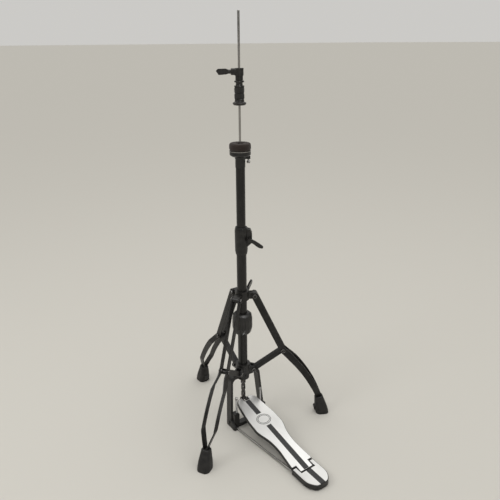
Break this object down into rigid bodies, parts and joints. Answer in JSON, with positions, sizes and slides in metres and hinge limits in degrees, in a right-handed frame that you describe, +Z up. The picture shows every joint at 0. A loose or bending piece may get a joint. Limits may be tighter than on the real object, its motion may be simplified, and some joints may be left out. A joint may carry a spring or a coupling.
{
  "type": "hi-hat stand",
  "caption": "Double-braced hi-hat stand: folding tripod, sliding upper tube with tilting cymbal seat and clutch, and a hinged foot pedal pulling a rod by chain.",
  "frame": {"origin": "centre of the footprint's box, on the floor", "axes": "+Z up along the tube, -Y towards the pedal's heel, +X to the right seen from the heel"},
  "size_m": [0.4886, 0.6559, 1.2005],
  "materials": {
    "black_steel": "satin",
    "black_casting": "semi-gloss",
    "black_plastic": "matte",
    "nylon": "matte",
    "black_rubber": "matte",
    "bright_steel": "polished",
    "grey_steel": "satin",
    "brushed_aluminium": "brushed",
    "brass": "satin",
    "black_stripe": "textured",
    "felt": "felt"
  },
  "bodies": {
    "base": {"base_tube": "black_steel", "height_clamp": "black_casting", "clamp_bush": "nylon", "knob_sleeve": "black_plastic", "pedal_frame": "black_casting", "guide_bush": "nylon", "floor_beam": "black_casting", "frame_bolts": "grey_steel", "radius_rods": "bright_steel", "heel_block": "black_casting", "heel_plate": "brushed_aluminium", "heel_stripe": "black_stripe", "heel_pad": "black_rubber", "hinge_pin": "bright_steel"},
    "height_wing": {"height_wing": "black_casting"},
    "upper_tube": {"upper_tube": "black_steel", "rod_bush": "nylon", "tilter_neck": "black_casting"},
    "tilter_screw": {"tilter_screw": "grey_steel"},
    "seat": {"seat_cup": "black_casting", "seat_washer": "bright_steel", "seat_felt": "felt"},
    "pull_rod": {"upper_rod": "bright_steel", "lower_rod": "grey_steel", "rod_coupler": "grey_steel", "rod_nut": "brass", "chain_clevis": "grey_steel", "drive_chain": "grey_steel"},
    "clutch": {"clutch_body": "black_casting", "clutch_nuts": "black_casting", "clutch_felts": "felt", "clutch_bottom": "black_casting"},
    "clutch_wing": {"clutch_wing": "black_casting"},
    "footboard": {"footboard": "black_casting", "footboard_plate": "brushed_aluminium", "footboard_stripe": "black_stripe", "toe_bracket": "black_casting"},
    "tension_knob": {"tension_knob": "black_plastic"},
    "spring_cage": {"spring_cage": "grey_steel", "return_spring": "grey_steel"},
    "lower_hub": {"lower_hub": "black_casting", "hub_pins": "black_steel"},
    "top_hub": {"top_hub": "black_casting"},
    "hub_wing": {"hub_wing": "black_casting"},
    "spur_left": {"spur_left": "grey_steel"},
    "spur_right": {"spur_right": "grey_steel"},
    "brace_right": {"brace_right": "black_steel"},
    "leg_right": {"leg_bars_right": "black_steel", "leg_bolts_right": "grey_steel", "leg_foot_right": "black_rubber"},
    "brace_back": {"brace_back": "black_steel"},
    "leg_back": {"leg_bars_back": "black_steel", "leg_bolts_back": "grey_steel", "leg_foot_back": "black_rubber"},
    "brace_left": {"brace_left": "black_steel"},
    "leg_left": {"leg_bars_left": "black_steel", "leg_bolts_left": "grey_steel", "leg_foot_left": "black_rubber"}
  },
  "joints": [
    {"name": "height_slide", "type": "slide", "parent": "base", "child": "upper_tube", "axis": [0, 0, 1], "range_m": [-0.1, 0.03]},
    {"name": "height_wing_turn", "type": "hinge", "parent": "base", "child": "height_wing", "pos_m": [0.01925, 0.03752, 0.608], "axis": [-0.5736, -0.8192, 0], "range_deg": [-50, 90]},
    {"name": "tilter_turn", "type": "hinge", "parent": "upper_tube", "child": "tilter_screw", "pos_m": [0.01824, 0.0387, 0.83], "axis": [0, 0, 1], "range_deg": [0, 1080]},
    {"name": "seat_tilt", "type": "hinge", "parent": "upper_tube", "child": "seat", "pos_m": [-0.01658, 0.06218, 0.842], "axis": [-0.5592, -0.829, 0], "range_deg": [0, 6]},
    {"name": "pull_slide", "type": "slide", "parent": "base", "child": "pull_rod", "axis": [0, 0, 1], "range_m": [-0.045, 0], "stiffness_N_per_m": 600, "springref_m": 0.05, "deforming": ["return_spring"]},
    {"name": "pedal_hinge", "type": "hinge", "parent": "base", "child": "footboard", "pos_m": [0, -0.251, 0.012], "axis": [1, 0, 0], "range_deg": [-8.6, 0]},
    {"name": "clutch_slide", "type": "slide", "parent": "pull_rod", "child": "clutch", "axis": [0, 0, 1], "range_m": [-0.015, 0.1]},
    {"name": "clutch_wing_turn", "type": "hinge", "parent": "clutch", "child": "clutch_wing", "pos_m": [-0.01658, 0.06218, 1.0575], "axis": [-0.829, 0.5592, 0], "range_deg": [0, 720]},
    {"name": "tension_turn", "type": "hinge", "parent": "base", "child": "tension_knob", "pos_m": [0, 0.051, 0.34], "axis": [0, 0, 1], "range_deg": [0, 720]},
    {"name": "cage_slide", "type": "slide", "parent": "base", "child": "spring_cage", "axis": [0, 0, 1], "range_m": [-0.006, 0]},
    {"name": "hub_turn", "type": "hinge", "parent": "base", "child": "lower_hub", "pos_m": [0, 0.051, 0.185], "axis": [0, 0, 1], "range_deg": [-15, 15]},
    {"name": "top_hub_slide", "type": "slide", "parent": "lower_hub", "child": "top_hub", "axis": [0, 0, 1], "range_m": [0, 0.062]},
    {"name": "hub_wing_turn", "type": "hinge", "parent": "top_hub", "child": "hub_wing", "pos_m": [0.02598, 0.066, 0.438], "axis": [0.866, 0.5, 0], "range_deg": [0, 720]},
    {"name": "spur_left_slide", "type": "slide", "parent": "base", "child": "spur_left", "axis": [0, 0, 1], "range_m": [-0.005, 0.03]},
    {"name": "spur_right_slide", "type": "slide", "parent": "base", "child": "spur_right", "axis": [0, 0, 1], "range_m": [-0.005, 0.03]},
    {"name": "fold_right", "type": "hinge", "parent": "lower_hub", "child": "brace_right", "pos_m": [0.0291, 0.0342, 0.179], "axis": [-0.5, -0.866, 0], "range_deg": [0, 42.1]},
    {"name": "knee_right", "type": "hinge", "parent": "brace_right", "child": "leg_right", "pos_m": [0.10687, -0.0107, 0.2415], "axis": [-0.5, -0.866, 0], "range_deg": [-61, 0]},
    {"name": "fold_back", "type": "hinge", "parent": "lower_hub", "child": "brace_back", "pos_m": [0, 0.0846, 0.179], "axis": [1, 0, 0], "range_deg": [0, 42.1]},
    {"name": "knee_back", "type": "hinge", "parent": "brace_back", "child": "leg_back", "pos_m": [0, 0.1744, 0.2415], "axis": [1, 0, 0], "range_deg": [-61, 0]},
    {"name": "fold_left", "type": "hinge", "parent": "lower_hub", "child": "brace_left", "pos_m": [-0.0291, 0.0342, 0.179], "axis": [-0.5, 0.866, 0], "range_deg": [0, 42.1]},
    {"name": "knee_left", "type": "hinge", "parent": "brace_left", "child": "leg_left", "pos_m": [-0.10687, -0.0107, 0.2415], "axis": [-0.5, 0.866, 0], "range_deg": [-61, 0]}
  ],
  "couplings": [
    {"joint": "tilter_turn", "follows": "seat_tilt", "ratio": 180},
    {"joint": "pedal_hinge", "follows": "pull_slide", "rad_per_m": 3.279},
    {"joint": "cage_slide", "follows": "tension_turn", "m_per_rad": -0.00047746},
    {"joint": "top_hub_slide", "follows": "fold_right", "m_per_rad": 0.084256},
    {"joint": "knee_right", "follows": "fold_right", "ratio": -1.4425},
    {"joint": "fold_back", "follows": "fold_right", "ratio": 1},
    {"joint": "knee_back", "follows": "fold_right", "ratio": -1.4425},
    {"joint": "fold_left", "follows": "fold_right", "ratio": 1},
    {"joint": "knee_left", "follows": "fold_right", "ratio": -1.4425}
  ]
}
